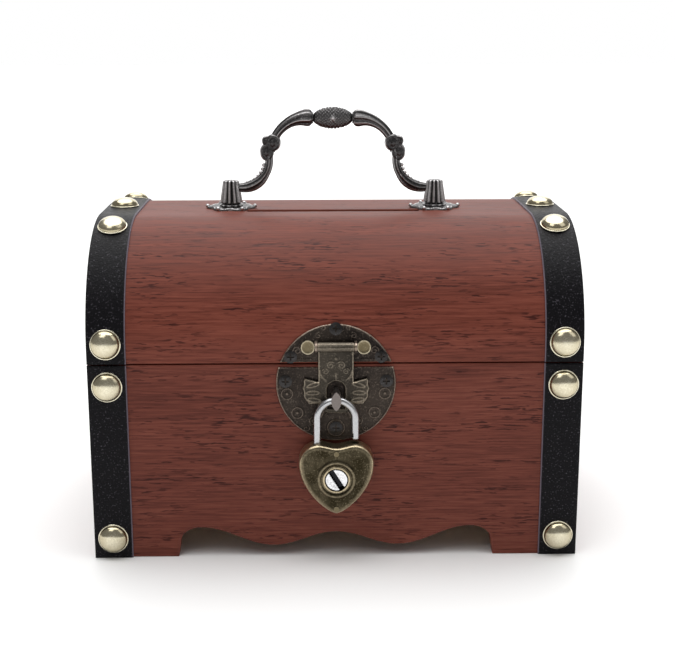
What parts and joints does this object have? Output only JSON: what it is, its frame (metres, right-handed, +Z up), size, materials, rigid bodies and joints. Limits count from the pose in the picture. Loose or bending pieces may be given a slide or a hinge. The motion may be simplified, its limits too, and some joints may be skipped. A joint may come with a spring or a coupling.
{
  "type": "wooden money box",
  "caption": "Small wooden treasure chest money box with a barrel lid, coin slot, bail handle, black straps, gold studs, round hasp and heart-shaped padlock.",
  "frame": {"origin": "centre of the whole box's footprint rectangle, on the plane the feet stand on", "axes": "+X to the right seen from the front, +Y to the back, where the hinges are, +Z up"},
  "size_m": [0.16, 0.125, 0.1442],
  "materials": {
    "body_wood": "stained and lacquered reddish brown, satin",
    "lid_wood": "stained and lacquered reddish brown, satin",
    "plain_wood": "bare softwood, matt",
    "black_leather": "pebbled leatherette, satin",
    "stud_gold": "polished pale gold",
    "dark_bronze": "antiqued bronze, dark with worn edges",
    "worn_brass": "worn antique brass",
    "pewter": "gunmetal grey, cast and burnished",
    "bright_steel": "polished",
    "plain_steel": "zinc plated",
    "lock_brass": "antiqued brass, dark with a worn rim"
  },
  "bodies": {
    "case": {"front_board": "body_wood", "back_board": "body_wood", "side_board_left": "body_wood", "side_board_right": "body_wood", "floor_board": "plain_wood", "strap_front_left": "black_leather", "strap_front_right": "black_leather", "strap_back_left": "black_leather", "strap_back_right": "black_leather", "case_studs": "stud_gold", "hasp_plate_lower": "dark_bronze", "hasp_screws_lower": "dark_bronze", "staple": "dark_bronze", "hinge_leaves_case": "worn_brass", "hinge_pins": "worn_brass", "hinge_screws_case": "worn_brass"},
    "lid": {"lid_shell": "lid_wood", "lid_end_left": "lid_wood", "lid_end_right": "lid_wood", "lid_rail_front": "plain_wood", "lid_rail_back": "plain_wood", "strap_lid_left": "black_leather", "strap_lid_right": "black_leather", "lid_studs": "stud_gold", "hasp_plate_upper": "dark_bronze", "hasp_screws_upper": "dark_bronze", "hasp_rivets": "worn_brass", "flap_pin": "worn_brass", "hinge_leaves_lid": "worn_brass", "hinge_screws_lid": "worn_brass", "handle_post_left": "pewter", "handle_post_right": "pewter", "handle_rose_left": "pewter", "handle_rose_right": "pewter", "handle_washers": "plain_steel", "handle_nuts": "plain_steel"},
    "handle": {"bail": "pewter"},
    "flap": {"hasp_flap": "dark_bronze"},
    "shackle": {"shackle": "bright_steel", "shackle_spring": "plain_steel"},
    "padlock_case": {"padlock_front": "lock_brass", "padlock_back": "lock_brass", "padlock_rivets": "worn_brass", "lock_barrel": "lock_brass"},
    "plug": {"key_plug": "bright_steel"},
    "latch": {"latch_bolt": "worn_brass"}
  },
  "joints": [
    {"name": "lid_hinge", "type": "hinge", "parent": "case", "child": "lid", "pos_m": [0.04, 0.0604, 0.0662], "axis": [-1, 0, 0], "range_deg": [0, 110]},
    {"name": "bail_swing", "type": "hinge", "parent": "lid", "child": "handle", "pos_m": [0.0345, 0.0026, 0.1158], "axis": [1, 0, 0], "range_deg": [-100, 100]},
    {"name": "flap_swing", "type": "hinge", "parent": "lid", "child": "flap", "pos_m": [0, -0.05615, 0.0723], "axis": [-1, 0, 0], "range_deg": [0, 165]},
    {"name": "padlock_swing", "type": "hinge", "parent": "case", "child": "shackle", "pos_m": [0, -0.0584, 0.0558], "axis": [-1, 0, 0], "range_deg": [0, 90]},
    {"name": "case_slide", "type": "slide", "parent": "shackle", "child": "padlock_case", "axis": [0, 0, 1], "range_m": [0, 0.005], "deforming": ["shackle_spring"]},
    {"name": "key_turn", "type": "hinge", "parent": "padlock_case", "child": "plug", "pos_m": [0, -0.0604, 0.0297], "axis": [0, 1, 0], "range_deg": [0, 90]},
    {"name": "latch_slide", "type": "slide", "parent": "padlock_case", "child": "latch", "axis": [1, 0, 0], "range_m": [0, 0.00283]}
  ],
  "couplings": [
    {"joint": "flap_swing", "follows": "lid_hinge", "ratio": 1.5},
    {"joint": "key_turn", "follows": "latch_slide", "rad_per_m": 555.35}
  ]
}
